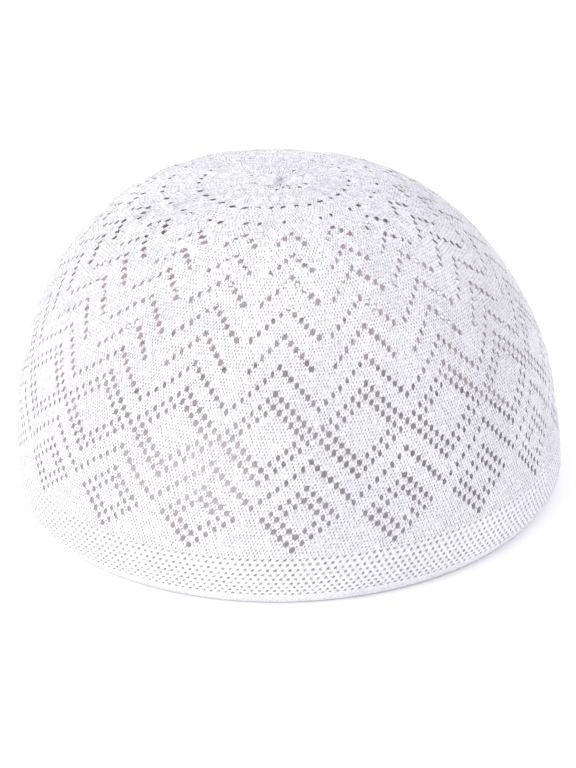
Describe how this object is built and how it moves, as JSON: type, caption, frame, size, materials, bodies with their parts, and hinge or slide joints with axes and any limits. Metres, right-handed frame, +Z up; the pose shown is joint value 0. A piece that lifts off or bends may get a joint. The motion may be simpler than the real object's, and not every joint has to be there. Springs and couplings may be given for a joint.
{
  "type": "kufi",
  "caption": "Round white knitted kufi cap with a domed lace crown of chevrons and diamonds, a double hem band and a gathered centre.",
  "frame": {"origin": "middle of the rim's underside, on the surface that the cap stands on", "axes": "+Z up through the crown, -Y towards the side that the picture shows, +X to its right"},
  "size_m": [0.1832, 0.1832, 0.1057],
  "materials": {
    "lace_knit": "matt white cotton lace knit of fine stitches with rows of eyelets",
    "band_knit": "matt white cotton knit folded double, with rows of small tuck dots",
    "gathered_knit": "matt white cotton knit drawn up in fine pleats"
  },
  "bodies": {
    "root": {"lace_crown": "lace_knit", "hem_band": "band_knit", "crown_gather": "gathered_knit"}
  },
  "joints": []
}
